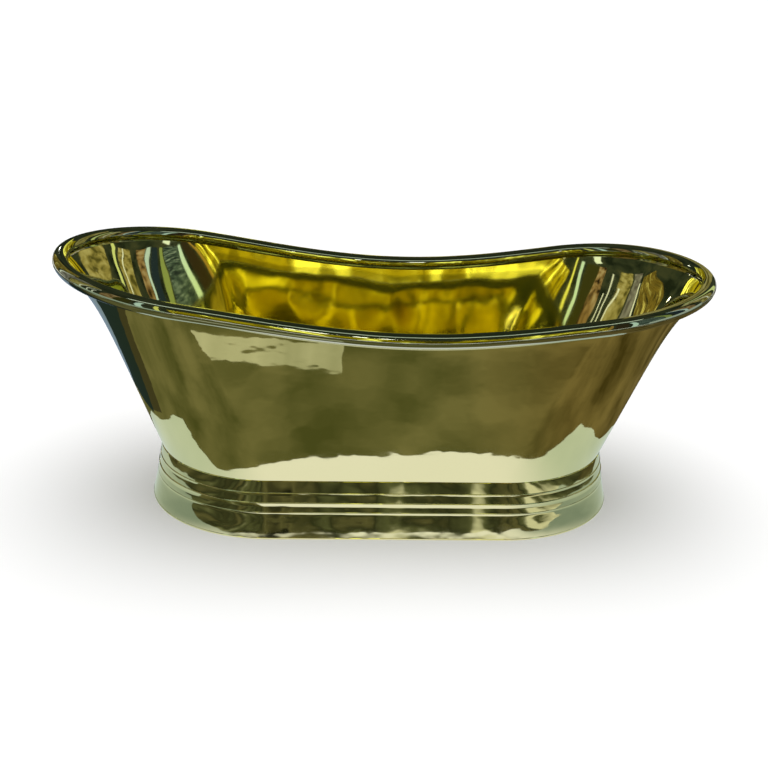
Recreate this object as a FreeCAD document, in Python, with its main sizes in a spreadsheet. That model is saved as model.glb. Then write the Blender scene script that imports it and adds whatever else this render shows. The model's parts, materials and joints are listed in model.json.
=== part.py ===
# Freestanding roll-top bath of polished brass on a moulded plinth.
# Millimetres, +Z up, +X along the bath, -Y towards the front.
# The origin lies on the floor, under the middle of the bath.
import FreeCAD, Part
import Sketcher
import math
import os
from types import SimpleNamespace
from FreeCAD import Vector

# Driving dimensions
SIZES = (
    # whole bath
    ("bath_length", 1700.0),
    ("bath_width", 730.0),
    ("head_height", 673.5),
    ("foot_height", 647.0),
    ("side_height", 567.5),
    # rolled rim
    ("roll_radius", 19.75),
    ("roll_sheet", 1.5),
    ("rim_straight", 496.5),
    # body
    ("body_sheet", 1.5),
    ("neck_length", 1195.0),
    ("neck_width", 570.0),
    ("neck_straight", 298.5),
    ("neck_height", 150.0),
    ("floor_height", 100.0),
    ("solder_gap", 0.3),
    # plinth: height of each moulding and how far its face stands out from the neck
    ("plinth_sheet", 1.5),
    ("neck_band_height", 30.0),
    ("neck_band_step", 4.5),
    ("upper_bead_height", 25.0),
    ("upper_bead_step", 9.0),
    ("lower_bead_height", 25.0),
    ("lower_bead_step", 13.7),
    ("skirt_shoulder", 14.5),
    ("skirt_flare", 27.8),
    ("foot_ring_height", 5.0),
    ("foot_ring_width", 13.0),
    ("foot_ring_lip", 1.0),
    # frame inside the plinth
    ("tube_wall", 2.0),
    ("rail_length", 840.0),
    ("rail_width", 40.0),
    ("rail_height", 30.0),
    ("rail_spacing", 240.0),
    ("bearer_width", 30.0),
    ("bearer_height", 20.0),
    ("inner_bearer_place", 130.0),
    ("outer_bearer_place", 285.0),
    ("felt_thickness", 3.0),
    ("felt_length", 400.0),
    ("clip_height", 8.0),
    ("clip_clearance", 0.4),
    ("bolt_radius", 4.0),
    ("bolt_clearance", 0.25),
    ("bolt_head_radius", 6.5),
    ("bolt_head_height", 5.0),
    # levelling feet
    ("foot_place", 395.0),
    ("foot_travel", 15.0),
    ("stud_radius", 6.0),
    ("thread_clearance", 0.1),
    ("stud_grip", 9.0),
    ("foot_pad_radius", 20.0),
    ("foot_pad_height", 6.0),
    ("foot_boss_radius", 10.0),
    ("foot_boss_height", 8.0),
    ("foot_bush_radius", 11.0),
    ("lock_nut_radius", 10.97),
    ("lock_nut_height", 8.0),
    # waste
    ("waste_thread_radius", 23.9),
    ("waste_bore_radius", 20.0),
    ("waste_flange_radius", 36.0),
    ("waste_flange_height", 3.0),
    ("waste_tail_height", 35.0),
    ("waste_shoulder_height", 80.0),
    ("waste_shank_radius", 24.6),
    ("waste_clearance", 0.3),
    ("flange_gasket_height", 1.5),
    ("under_gasket_height", 3.0),
    ("washer_height", 2.0),
    ("back_nut_radius", 34.0),
    ("back_nut_height", 12.0),
    ("spider_height", 4.0),
    ("spider_depth", 14.0),
    ("spider_arm", 5.0),
    ("boss_radius", 7.0),
    ("boss_height", 16.0),
    # plug
    ("plug_radius", 31.0),
    ("plug_edge", 2.0),
    ("plug_crown", 2.5),
    ("plug_lift", 8.0),
    ("plug_seal_height", 1.5),
    ("plug_seal_width", 6.0),
    ("stem_radius", 3.0),
    ("stem_clearance", 0.1),
    ("collar_radius", 5.0),
    ("collar_height", 4.0),
    ("stop_clearance", 0.3),
    # one overrun for every cut
    ("overrun", 5.0),
)

# Shape shares, chosen by hand
RIM_FULLNESS_SHARE = 1.96       # exponent of the rim's superellipse ends
NECK_FULLNESS_SHARE = 2.025     # exponent of the ends at the neck
WALL_FLARE_SHARE = 0.167        # share of the wall's lean that lies near the top
WALL_FLARE_POWER_SHARE = 8.0    # how late that flare comes
CREASE_ANGLE = 60.0             # degrees below level at which the wall meets the roll
SKIRT_SHOULDER_SHARE = 0.06     # share of the skirt's height in its rounded top step
SKIRT_FLARE_POWER_SHARE = 1.08  # how late the skirt's flare comes

# Each bead from its top, as shares of its step out and of its height: a rounded shoulder,
# a short upright face and a flare down to the next moulding
UPPER_SHOULDER_SHARE = 0.38
LOWER_SHOULDER_SHARE = 0.47
UPPER_BEAD_SHARES = ((0.0, 0.0), (0.27, 0.03), (0.36, 0.08), (UPPER_SHOULDER_SHARE, 0.2),
                     (1.0, 1.0))
LOWER_BEAD_SHARES = ((0.0, 0.0), (0.33, 0.04), (0.44, 0.1), (LOWER_SHOULDER_SHARE, 0.42),
                     (1.0, 1.0))

# The rim line's rise from the middle to the ends, as shares of its powers of x:
# the even ones lift both ends alike, and the odd ones make the left end higher
EVEN_SHEER_SHARES = ((2, 1.918), (4, -1.331), (6, 0.413))
ODD_SHEER_SHARES = ((1, 2.267), (3, -3.197), (5, 1.93))

# Stations round an outline, and steps up a panel
END_STEPS = 16
SIDE_STEPS = 12
WALL_STEPS = 12
SKIRT_STEPS = 9

doc = FreeCAD.newDocument("RollTopBath")


class Size:
    """A length with the spreadsheet expression that it comes from."""

    def __init__(self, value, text):
        self.value = float(value)
        self.text = text

    def __float__(self):
        return self.value

    def __add__(self, other):
        other = as_size(other)
        return Size(self.value + other.value, f"({self.text} + {other.text})")

    def __sub__(self, other):
        other = as_size(other)
        return Size(self.value - other.value, f"({self.text} - {other.text})")

    def __mul__(self, number):
        return Size(self.value * number, f"({self.text} * {number})")

    def __truediv__(self, number):
        return Size(self.value / number, f"({self.text} / {number})")

    def __neg__(self):
        return Size(-self.value, f"(0 - {self.text})")


def as_size(thing):
    """Zero is the only plain number that is used as a length."""
    if isinstance(thing, Size):
        return thing
    return Size(thing, str(thing))


def make_sheet():
    """The spreadsheet of driving dimensions."""
    sheet = doc.addObject("Spreadsheet::Sheet", "Sizes")
    for row, (alias, value) in enumerate(SIZES, start=1):
        sheet.set(f"A{row}", alias)
        sheet.set(f"B{row}", str(value))
        sheet.setAlias(f"B{row}", alias)
    doc.recompute()
    return sheet


make_sheet()
S = SimpleNamespace(**{alias: Size(value, f"Sizes.{alias}") for alias, value in SIZES})
ZERO = Size(0, "0")
nodes = []


def node(label, item):
    """Name a finished sub-part and put it on the list that is written out."""
    item.Label = label
    nodes.append(item)
    return item


def bind(item, prop, amount):
    item.setExpression(prop, as_size(amount).text)


def place(item, x=ZERO, y=ZERO, z=ZERO):
    for axis, amount in (("x", x), ("y", y), ("z", z)):
        bind(item, f"Placement.Base.{axis}", amount)
    return item


def block(name, low, high):
    """A box between two corners."""
    item = doc.addObject("Part::Box", name)
    for prop, start, end in zip(("Length", "Width", "Height"), low, high):
        bind(item, prop, as_size(end) - start)
    return place(item, *low)


def rod(name, radius, low, high, x=ZERO, y=ZERO):
    """An upright cylinder."""
    item = doc.addObject("Part::Cylinder", name)
    bind(item, "Radius", radius)
    bind(item, "Height", as_size(high) - low)
    return place(item, x, y, low)


def cut(name, base, tools):
    """Base less every tool."""
    tool = tools[0]
    if len(tools) > 1:
        tool = doc.addObject("Part::Compound", name + "_cuts")
        tool.Links = tools
    item = doc.addObject("Part::Cut", name)
    item.Base = base
    item.Tool = tool
    return item


def fuse(name, shapes):
    item = doc.addObject("Part::MultiFuse", name)
    item.Shapes = shapes
    return item


def group(name, shapes):
    item = doc.addObject("Part::Compound", name)
    item.Links = shapes
    return item


def freeform(name, shape):
    item = doc.addObject("Part::Feature", name)
    item.Shape = shape
    return item


def turned(name, corners, x=ZERO, y=ZERO):
    """A body turned about an upright axis from corners of (radius, height)."""
    body = doc.addObject("PartDesign::Body", name)
    sketch = body.newObject("Sketcher::SketchObject", name + "_profile")
    upright = [f for f in body.Origin.OriginFeatures if f.Role == "XZ_Plane"][0]
    sketch.AttachmentSupport = [(upright, "")]
    sketch.MapMode = "FlatFace"
    points = [Vector(float(r), float(h), 0) for r, h in corners]
    count = len(points)
    for i in range(count):
        sketch.addGeometry(Part.LineSegment(points[i], points[(i + 1) % count]), False)
    for i in range(count):
        constrain(sketch, "Coincident", i, 2, (i + 1) % count, 1)
    for i, (r, h) in enumerate(corners):
        lock(sketch, "DistanceX", i, r, f"radius_{i}")
        lock(sketch, "DistanceY", i, h, f"height_{i}")
    turn = body.newObject("PartDesign::Revolution", name + "_turn")
    turn.Profile = sketch
    turn.ReferenceAxis = (sketch, ["V_Axis"])
    turn.Angle = 360.0
    body.Tip = turn
    return place(body, x, y)


def constrain(sketch, kind, *where):
    return sketch.addConstraint(Sketcher.Constraint(kind, *where))


def lock(sketch, kind, line, amount, name):
    """Hold the start of a line at a named distance from the sketch's origin."""
    amount = as_size(amount)
    if amount.value == 0:
        constrain(sketch, "PointOnObject", line, 1, -2 if kind == "DistanceX" else -1)
        return
    index = constrain(sketch, kind, -1, 1, line, 1, amount.value)
    sketch.renameConstraint(index, name)
    sketch.setExpression(f"Constraints.{name}", amount.text)


# Heights that follow from the driving dimensions
neck_band_low = S.neck_height - S.neck_band_height
upper_bead_low = neck_band_low - S.upper_bead_height
lower_bead_low = upper_bead_low - S.lower_bead_height
pan_underside = S.floor_height - S.body_sheet
bearer_top = pan_underside - S.felt_thickness
bearer_low = bearer_top - S.bearer_height
rail_low = bearer_low - S.rail_height


class Outline:
    """A level line of the bath: a straight middle between two superellipse ends."""

    def __init__(self, half_length, half_width, straight, fullness):
        self.end = half_length - straight
        self.half_width = half_width
        self.straight = straight
        self.power = fullness

    def at(self, station):
        """Place and outward direction at a station, as x, y, nx, ny."""
        kind, first, second = station
        if kind == "side":
            return first * self.straight, second * self.half_width, 0.0, float(second)
        m, b, n = self.end, self.half_width, self.power
        radius = (abs(first / m) ** n + abs(second / b) ** n) ** (-1.0 / n)
        x, y = radius * first, radius * second
        gx = math.copysign(abs(x / m) ** (n - 1) / m, first)
        gy = math.copysign(abs(y / b) ** (n - 1) / b, second)
        size = math.hypot(gx, gy)
        side = 1 if kind == "right" else -1
        return x + side * self.straight, y, gx / size, gy / size


def stations():
    """Anticlockwise round the bath, from the front of the right end."""
    places = []
    for step in range(END_STEPS + 1):
        turn = math.pi * (step / END_STEPS - 0.5)
        places.append(("right", math.cos(turn), math.sin(turn)))
    for step in range(1, SIDE_STEPS):
        places.append(("side", 1 - 2 * step / SIDE_STEPS, 1))
    for step in range(END_STEPS + 1):
        turn = math.pi * (step / END_STEPS + 0.5)
        places.append(("left", math.cos(turn), math.sin(turn)))
    for step in range(1, SIDE_STEPS):
        places.append(("side", 2 * step / SIDE_STEPS - 1, -1))
    return places


STATIONS = stations()
roll = float(S.roll_radius)
rim_half_length = float(S.bath_length) / 2 - roll
rim = Outline(rim_half_length, float(S.bath_width) / 2 - roll, float(S.rim_straight),
              RIM_FULLNESS_SHARE)
neck = Outline(float(S.neck_length) / 2, float(S.neck_width) / 2, float(S.neck_straight),
               NECK_FULLNESS_SHARE)


def sheer(x):
    """Height of the roll's centre at x, and its slope along x."""
    low = float(S.side_height) - roll
    head = float(S.head_height) - roll
    foot = float(S.foot_height) - roll
    u = x / rim_half_length
    height, steep = low, 0.0
    for rise, powers in (((head + foot) / 2 - low, EVEN_SHEER_SHARES),
                         ((foot - head) / 2, ODD_SHEER_SHARES)):
        for power, share in powers:
            height += rise * share * u ** power
            steep += rise * share * power * u ** (power - 1) / rim_half_length
    return height, steep


def roll_frame(station):
    """Centre of the roll at a station, with its outward, upward and forward directions."""
    x, y, nx, ny = rim.at(station)
    z, slope = sheer(x)
    forward = Vector(-ny, nx, -ny * slope).normalize()
    outward = Vector(nx, ny, 0)
    upward = outward.cross(forward)
    return Vector(x, y, z), outward, upward, forward


def on_roll(station, below, radius):
    """A point on the inner side of the roll, at an angle below level."""
    centre, outward, upward, forward = roll_frame(station)
    turn = math.radians(below)
    return centre - outward * (radius * math.cos(turn)) - upward * (radius * math.sin(turn))


def lean(height_share):
    """How far across its lean the wall has come at a share of its height."""
    late = height_share ** WALL_FLARE_POWER_SHARE
    return (1 - WALL_FLARE_SHARE) * height_share + WALL_FLARE_SHARE * late


def wall_point(station, share, inset):
    """A point of the wall's outer face, or of its inner face when inset by the sheet."""
    radius = roll + float(S.solder_gap)
    across = math.cos(math.radians(CREASE_ANGLE)) + inset / radius
    top = on_roll(station, math.degrees(math.acos(across)), radius)
    x, y, nx, ny = neck.at(station)
    foot = Vector(x - inset * nx, y - inset * ny, float(S.neck_height))
    level = top - foot
    part = lean(share)
    return Vector(foot.x + level.x * part, foot.y + level.y * part, foot.z + level.z * share)


def loop_wire(points):
    curve = Part.BSplineCurve()
    curve.interpolate(Points=points, PeriodicFlag=True)
    return Part.Wire([curve.toShape()])


def sheet_panel(outer, inner):
    """A panel of sheet between an outer and an inner grid of points."""
    faces = []
    borders = []
    for grid in (outer, inner):
        skin = Part.BSplineSurface()
        skin.interpolate(grid)
        u0, u1, v0, v1 = skin.bounds()
        faces.append(skin.toShape())
        borders.append([skin.uIso(u0), skin.uIso(u1), skin.vIso(v0), skin.vIso(v1)])
    for near, far in zip(*borders):
        faces.append(Part.makeRuledSurface(near.toShape(), far.toShape()))
    shell = Part.Shell(faces)
    shell.sewShape()
    solid = Part.makeSolid(shell)
    if solid.Volume < 0:
        solid.reverse()
    return solid


# Stations at which the straight middles end, and once more round
REAR_START = END_STEPS
LEFT_START = REAR_START + SIDE_STEPS
FRONT_START = LEFT_START + END_STEPS
ROUND_AGAIN = STATIONS + STATIONS
COUNT = len(STATIONS)


def make_walls():
    """Four panels, brazed together where the straight middles end."""
    shares = [step / WALL_STEPS for step in range(WALL_STEPS + 1)]
    panels = (
        ("right_end_wall", 0, REAR_START),
        ("rear_wall", REAR_START, LEFT_START),
        ("left_end_wall", LEFT_START, FRONT_START),
        ("front_wall", FRONT_START, COUNT),
    )
    for label, start, end in panels:
        grids = []
        for inset in (0.0, float(S.body_sheet)):
            grids.append([[wall_point(station, share, inset) for share in shares]
                          for station in ROUND_AGAIN[start:end + 1]])
        node(label, freeform(label, sheet_panel(*grids)))


def pan_point(station, share, inset):
    """A point of the pan's turned-up edge: share 0 at the flat floor, 1 at the neck."""
    x, y, nx, ny = neck.at(station)
    above = wall_point(station, 1.0, 0.0)
    run = (above.x - x) * nx + (above.y - y) * ny
    rise = above.z - float(S.neck_height)
    steep = math.atan2(rise, run * (1 - WALL_FLARE_SHARE))
    depth = float(S.neck_height) - float(pan_underside)
    bend = depth / (1 - math.cos(steep))
    turn = share * steep
    out = bend * (math.sin(turn) - math.sin(steep))
    up = bend * (1 - math.cos(turn))
    square = share * math.pi / 2
    out -= inset * math.sin(square)
    up += inset * math.cos(square)
    return Vector(x + out * nx, y + out * ny, float(pan_underside) + up)


def make_floor():
    """The pressed floor pan, with its waste hole."""
    shares = (0.0, 0.33, 0.67, 1.0)
    solids = []
    for inset in (0.0, float(S.body_sheet)):
        wires = [loop_wire([pan_point(s, share, inset) for s in STATIONS]) for share in shares]
        solids.append(Part.makeLoft(wires, True, False))
    pan = freeform("floor_pressing", solids[0].cut(solids[1]))
    hole = rod("waste_hole", S.waste_shank_radius + S.waste_clearance,
               pan_underside - S.overrun, S.floor_height + S.overrun)
    node("floor_pan", cut("floor_pan", pan, [hole]))


def roll_length(steps):
    """One length of the hollow roll, through the stations in steps."""
    skins = []
    for radius in (roll, roll - float(S.roll_sheet)):
        rings = []
        for station in steps:
            centre, outward, upward, forward = roll_frame(station)
            circle = Part.Circle(centre, forward, radius)
            circle.XAxis = outward
            rings.append(Part.Wire([circle.toShape()]))
        skins.append(Part.makeLoft(rings, True, False))
    return skins[0].cut(skins[1])


def make_rim():
    """Four lengths of roll, which meet where the straight middles end."""
    lengths = (
        ("rim_roll_right", 0, REAR_START),
        ("rim_roll_rear", REAR_START, LEFT_START),
        ("rim_roll_left", LEFT_START, FRONT_START),
        ("rim_roll_front", FRONT_START, COUNT),
    )
    for label, start, end in lengths:
        node(label, freeform(label, roll_length(ROUND_AGAIN[start:end + 1])))


def neck_point(station, out, height):
    """A point that stands out from the neck's outline, square to it, at a height."""
    x, y, nx, ny = neck.at(station)
    return Vector(x + out * nx, y + out * ny, height)


def neck_offset(out, height):
    """The neck's outline, moved out square to itself and set at a height."""
    return loop_wire([neck_point(station, out, height) for station in STATIONS])


def moulding(profile, sheet):
    """A ring of sheet whose face follows a profile of (step out, height)."""
    outer = Part.makeLoft([neck_offset(out, h) for out, h in profile], True, True)
    inner = Part.makeLoft([neck_offset(out - sheet, h) for out, h in profile], True, True)
    return outer.cut(inner)


def between(start, end, share):
    return start + (end - start) * share


def bead_profile(top_out, face_out, top, low, shares):
    return [(between(top_out, face_out, a), between(top, low, b)) for a, b in shares]


def make_plinth():
    """Neck band, two beads, flared skirt in two halves and the foot ring."""
    sheet = float(S.plinth_sheet)
    out_neck = sheet + float(S.solder_gap)
    out_band = float(S.neck_band_step)
    out_upper = float(S.upper_bead_step)
    out_lower = float(S.lower_bead_step)
    top = float(S.neck_height)
    band_low = float(neck_band_low)
    upper_low = float(upper_bead_low)
    lower_low = float(lower_bead_low)
    foot_top = float(S.foot_ring_height)

    band = [(out_neck, top), (out_band, band_low)]
    node("neck_band", freeform("neck_band", moulding(band, sheet)))
    upper = bead_profile(out_band, out_upper, band_low, upper_low, UPPER_BEAD_SHARES)
    node("upper_bead", freeform("upper_bead", moulding(upper, sheet)))
    lower = bead_profile(out_upper, out_lower, upper_low, lower_low, LOWER_BEAD_SHARES)
    node("lower_bead", freeform("lower_bead", moulding(lower, sheet)))

    shoulder = float(S.skirt_shoulder)
    flare = float(S.skirt_flare)
    shoulder_low = between(lower_low, foot_top, SKIRT_SHOULDER_SHARE)
    skirt = [(out_lower, lower_low)]
    for step in range(SKIRT_STEPS + 1):
        share = step / SKIRT_STEPS
        out_share = share ** SKIRT_FLARE_POWER_SHARE
        skirt.append((between(shoulder, flare, out_share), between(shoulder_low, foot_top, share)))
    right_middle = END_STEPS // 2
    left_middle = right_middle + COUNT // 2
    for label, start in (("skirt_rear", right_middle), ("skirt_front", left_middle)):
        path = ROUND_AGAIN[start:start + COUNT // 2 + 1]
        grids = []
        for inset in (0.0, sheet):
            grids.append([[neck_point(station, out - inset, height) for out, height in skirt]
                          for station in path])
        node(label, freeform(label, sheet_panel(*grids)))

    lip = flare + float(S.foot_ring_lip)
    edge_shares = (0.0, 0.2, 0.8, 1.0)
    stands = [(flare if share in (0.0, 1.0) else lip, foot_top * share) for share in edge_shares]
    outer = Part.makeLoft([neck_offset(out, h) for out, h in stands], True, True)
    inside = flare - float(S.foot_ring_width)
    inner = Part.makeLoft([neck_offset(inside, 0.0), neck_offset(inside, foot_top)], True, True)
    node("foot_ring", freeform("foot_ring", outer.cut(inner)))


def crossings():
    """Centres, along and across the bath, where a bearer lies on a rail."""
    spots = []
    for x in (-S.outer_bearer_place, -S.inner_bearer_place, S.inner_bearer_place,
              S.outer_bearer_place):
        for y in (-S.rail_spacing / 2, S.rail_spacing / 2):
            spots.append((x, y))
    return spots


def foot_spots():
    """Names and centres of the four feet."""
    across = S.rail_spacing / 2
    return (
        ("front_left", -S.foot_place, -across),
        ("front_right", S.foot_place, -across),
        ("rear_left", -S.foot_place, across),
        ("rear_right", S.foot_place, across),
    )


def make_rails():
    """Two long rails of rectangular tube, drilled for bolts and feet."""
    wall = S.tube_wall
    half = S.rail_length / 2
    for label, y in (("front_rail", -S.rail_spacing / 2), ("rear_rail", S.rail_spacing / 2)):
        low = y - S.rail_width / 2
        high = y + S.rail_width / 2
        body = block(label + "_tube", (-half, low, rail_low), (half, high, bearer_low))
        room = block(label + "_room", (-half - S.overrun, low + wall, rail_low + wall),
                     (half + S.overrun, high - wall, bearer_low - wall))
        holes = []
        for i, (x, spot_y) in enumerate(crossings()):
            if spot_y.value == y.value:
                holes.append(rod(f"{label}_bolt_hole_{i}", S.bolt_radius + S.bolt_clearance,
                                 rail_low - S.overrun, bearer_low + S.overrun, x, y))
        for name, x, spot_y in foot_spots():
            if spot_y.value == y.value:
                holes.append(rod(f"{label}_{name}_hole", S.stud_radius + S.bolt_clearance,
                                 rail_low - S.overrun, bearer_low + S.overrun, x, y))
        tube = cut(label + "_hollow", body, [room])
        node(label, cut(label, tube, holes))


def make_bearers():
    """Cross bearers of rectangular tube, their felt strips and their end clips."""
    wall = S.tube_wall
    inside = S.neck_width / 2 - S.plinth_sheet - S.clip_clearance
    upper_step = S.upper_bead_step - S.neck_band_step
    lower_step = S.lower_bead_step - S.upper_bead_step
    bearer_end = inside + S.neck_band_step + upper_step * UPPER_SHOULDER_SHARE
    clip_end = inside + S.upper_bead_step + lower_step * LOWER_SHOULDER_SHARE
    half_wide = S.bearer_width / 2
    clips = []
    places = (
        ("outer_left", -S.outer_bearer_place), ("inner_left", -S.inner_bearer_place),
        ("inner_right", S.inner_bearer_place), ("outer_right", S.outer_bearer_place),
    )
    for name, x in places:
        label = f"{name}_bearer"
        body = block(label + "_tube", (x - half_wide, -bearer_end, bearer_low),
                     (x + half_wide, bearer_end, bearer_top))
        room = block(label + "_room", (x - half_wide + wall, -bearer_end - S.overrun,
                                       bearer_low + wall),
                     (x + half_wide - wall, bearer_end + S.overrun, bearer_top - wall))
        holes = []
        for i, (spot_x, y) in enumerate(crossings()):
            if spot_x.value == x.value:
                holes.append(rod(f"{label}_bolt_hole_{i}", S.bolt_radius + S.bolt_clearance,
                                 bearer_low - S.overrun, bearer_top - wall - wall, x, y))
        tube = cut(label + "_hollow", body, [room])
        node(label, cut(label, tube, holes))
        node(f"{name}_felt", block(f"{name}_felt", (x - half_wide, -S.felt_length / 2, bearer_top),
                                   (x + half_wide, S.felt_length / 2, pan_underside)))
        for side in ("front", "rear"):
            span = (-clip_end, -bearer_end) if side == "front" else (bearer_end, clip_end)
            clips.append(block(f"{name}_{side}_clip", (x - half_wide, span[0], bearer_low),
                               (x + half_wide, span[1], bearer_low + S.clip_height)))
    node("bearer_clips", group("bearer_clips", clips))


def make_bolts():
    """One bolt up through each crossing, with its head under the rail."""
    bolts = []
    for i, (x, y) in enumerate(crossings()):
        tip = bearer_low + S.bearer_height / 2
        corners = (
            (ZERO, rail_low - S.bolt_head_height),
            (S.bolt_head_radius, rail_low - S.bolt_head_height),
            (S.bolt_head_radius, rail_low),
            (S.bolt_radius, rail_low),
            (S.bolt_radius, tip),
            (ZERO, tip),
        )
        bolts.append(turned(f"frame_bolt_{i}", corners, x, y))
    node("frame_bolts", group("frame_bolts", bolts))


def make_feet():
    """Four levelling feet: pad, stud, lock nut and the bush that the stud runs in."""
    bore = S.stud_radius + S.thread_clearance
    boss_top = S.foot_pad_height + S.foot_boss_height
    rail_in_low = rail_low + S.tube_wall
    rail_in_high = bearer_low - S.tube_wall
    stud_top = rail_in_low + S.foot_travel + S.stud_grip
    for name, x, y in foot_spots():
        pad = (
            (ZERO, ZERO),
            (S.foot_pad_radius, ZERO),
            (S.foot_pad_radius, S.foot_pad_height),
            (S.foot_boss_radius, S.foot_pad_height),
            (S.foot_boss_radius, boss_top),
            (S.stud_radius, boss_top),
            (S.stud_radius, S.foot_pad_height),
            (ZERO, S.foot_pad_height),
        )
        node(f"{name}_foot_pad", turned(f"{name}_foot_pad", pad, x, y))
        stud = (
            (ZERO, S.foot_pad_height),
            (S.stud_radius, S.foot_pad_height),
            (S.stud_radius, stud_top),
            (ZERO, stud_top),
        )
        node(f"{name}_foot_stud", turned(f"{name}_foot_stud", stud, x, y))
        bush = (
            (bore, rail_in_low),
            (S.foot_bush_radius, rail_in_low),
            (S.foot_bush_radius, rail_in_high),
            (bore, rail_in_high),
        )
        node(f"{name}_foot_bush", turned(f"{name}_foot_bush", bush, x, y))
        prism = doc.addObject("Part::Prism", f"{name}_nut_blank")
        prism.Polygon = 6
        bind(prism, "Circumradius", S.lock_nut_radius)
        bind(prism, "Height", S.lock_nut_height)
        place(prism, x, y, rail_low - S.lock_nut_height)
        hole = rod(f"{name}_nut_bore", bore, rail_low - S.lock_nut_height - S.overrun,
                   rail_low + S.overrun, x, y)
        node(f"{name}_lock_nut", cut(f"{name}_lock_nut", prism, [hole]))


# Heights of the waste's pieces, from the floor of the bath
flange_low = S.floor_height + S.flange_gasket_height
flange_top = flange_low + S.waste_flange_height
gasket_low = pan_underside - S.under_gasket_height
washer_low = gasket_low - S.washer_height
nut_low = washer_low - S.back_nut_height
seal_top = flange_top + S.plug_seal_height
spider_top = flange_top - S.spider_depth
boss_low = spider_top - S.boss_height
collar_top = boss_low - S.plug_lift - S.stop_clearance


def make_waste():
    """Flanged body, gaskets, washer, back nut and the spider that guides the plug."""
    thread = S.waste_thread_radius
    bore = S.waste_bore_radius
    shank = S.waste_shank_radius
    clear = shank + S.waste_clearance
    body = (
        (bore, S.waste_tail_height),
        (thread, S.waste_tail_height),
        (thread, S.waste_shoulder_height),
        (shank, S.waste_shoulder_height),
        (shank, flange_low),
        (S.waste_flange_radius, flange_low),
        (S.waste_flange_radius, flange_top - S.waste_flange_height / 2),
        (S.waste_flange_radius - S.waste_flange_height / 2, flange_top),
        (bore, flange_top),
    )
    node("waste_body", turned("waste_body", body))
    rings = (
        ("flange_gasket", clear, S.waste_flange_radius - S.waste_flange_height / 2,
         S.floor_height, flange_low),
        ("under_gasket", clear, S.back_nut_radius, gasket_low, pan_underside),
        ("clamp_washer", clear, S.back_nut_radius, washer_low, gasket_low),
    )
    for label, inner, outer, low, high in rings:
        node(label, turned(label, ((inner, low), (outer, low), (outer, high), (inner, high))))
    prism = doc.addObject("Part::Prism", "back_nut_blank")
    prism.Polygon = 6
    bind(prism, "Circumradius", S.back_nut_radius)
    bind(prism, "Height", S.back_nut_height)
    place(prism, ZERO, ZERO, nut_low)
    hole = rod("back_nut_bore", shank + S.thread_clearance, nut_low - S.overrun,
               washer_low + S.overrun)
    node("back_nut", cut("back_nut", prism, [hole]))

    half_arm = S.spider_arm / 2
    spider_low = spider_top - S.spider_height
    along = block("spider_arm_along", (-bore, -half_arm, spider_low), (bore, half_arm, spider_top))
    across = block("spider_arm_across", (-half_arm, -bore, spider_low),
                   (half_arm, bore, spider_top))
    boss = rod("spider_boss", S.boss_radius, boss_low, spider_top)
    blank = fuse("spider_blank", [along, across, boss])
    throat = rod("spider_throat", bore, boss_low, spider_top)
    trimmed = doc.addObject("Part::Common", "spider_trimmed")
    trimmed.Base = blank
    trimmed.Tool = throat
    guide = rod("spider_guide", S.stem_radius + S.stem_clearance, boss_low - S.overrun,
                spider_top + S.overrun)
    node("plug_spider", cut("plug_spider", trimmed, [guide]))


def make_plug():
    """The lifting plug: crowned cap, seal, stem and stop collar."""
    edge_top = seal_top + S.plug_edge
    crown_shares = ((1.0, 0.0), (0.7, 0.65), (0.35, 0.92), (0.0, 1.0))
    cap = [(ZERO, seal_top), (S.plug_radius, seal_top)]
    cap += [(S.plug_radius * a, edge_top + S.plug_crown * b) for a, b in crown_shares]
    node("plug_cap", turned("plug_cap", cap))
    inner = S.waste_bore_radius + S.waste_clearance
    outer = inner + S.plug_seal_width
    seal = ((inner, flange_top), (outer, flange_top), (outer, seal_top), (inner, seal_top))
    node("plug_seal", turned("plug_seal", seal))
    low = collar_top - S.collar_height
    stem = (
        (ZERO, low),
        (S.stem_radius, low),
        (S.stem_radius, seal_top),
        (ZERO, seal_top),
    )
    node("plug_stem", turned("plug_stem", stem))
    collar = (
        (S.stem_radius, low),
        (S.collar_radius, low),
        (S.collar_radius, collar_top),
        (S.stem_radius, collar_top),
    )
    node("stop_collar", turned("stop_collar", collar))


def check_and_write():
    """Stop on any failed object, then write one file for each sub-part."""
    doc.recompute()
    for item in doc.Objects:
        if "Invalid" in item.State or "Error" in item.State:
            raise RuntimeError(f"{item.Name} failed: {item.State}")
    faults = []
    for item in nodes:
        if item.Shape.isNull() or not item.Shape.isValid():
            faults.append(f"{item.Label} has no valid shape")
        elif item.Shape.Volume <= 0 or not item.Shape.Solids:
            faults.append(f"{item.Label} is not a solid")
    if faults:
        raise RuntimeError("; ".join(faults))
    os.makedirs("parts", exist_ok=True)
    for item in nodes:
        item.Shape.exportStep(f"parts/{item.Label}.step")
        print(f"{item.Label}: {len(item.Shape.Solids)} solids, {item.Shape.Volume:.1f} mm3")


make_floor()
make_walls()
make_rim()
make_plinth()
make_rails()
make_bearers()
make_bolts()
make_feet()
make_waste()
make_plug()
check_and_write()
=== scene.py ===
# Freestanding roll-top bath of polished brass, dressed over its CAD frame.
# Metres, +Z up, +X along the bath towards its lower end, -Y towards the front.
import json
import math
import bmesh
import bpy
from mathutils import Matrix, Vector


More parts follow.
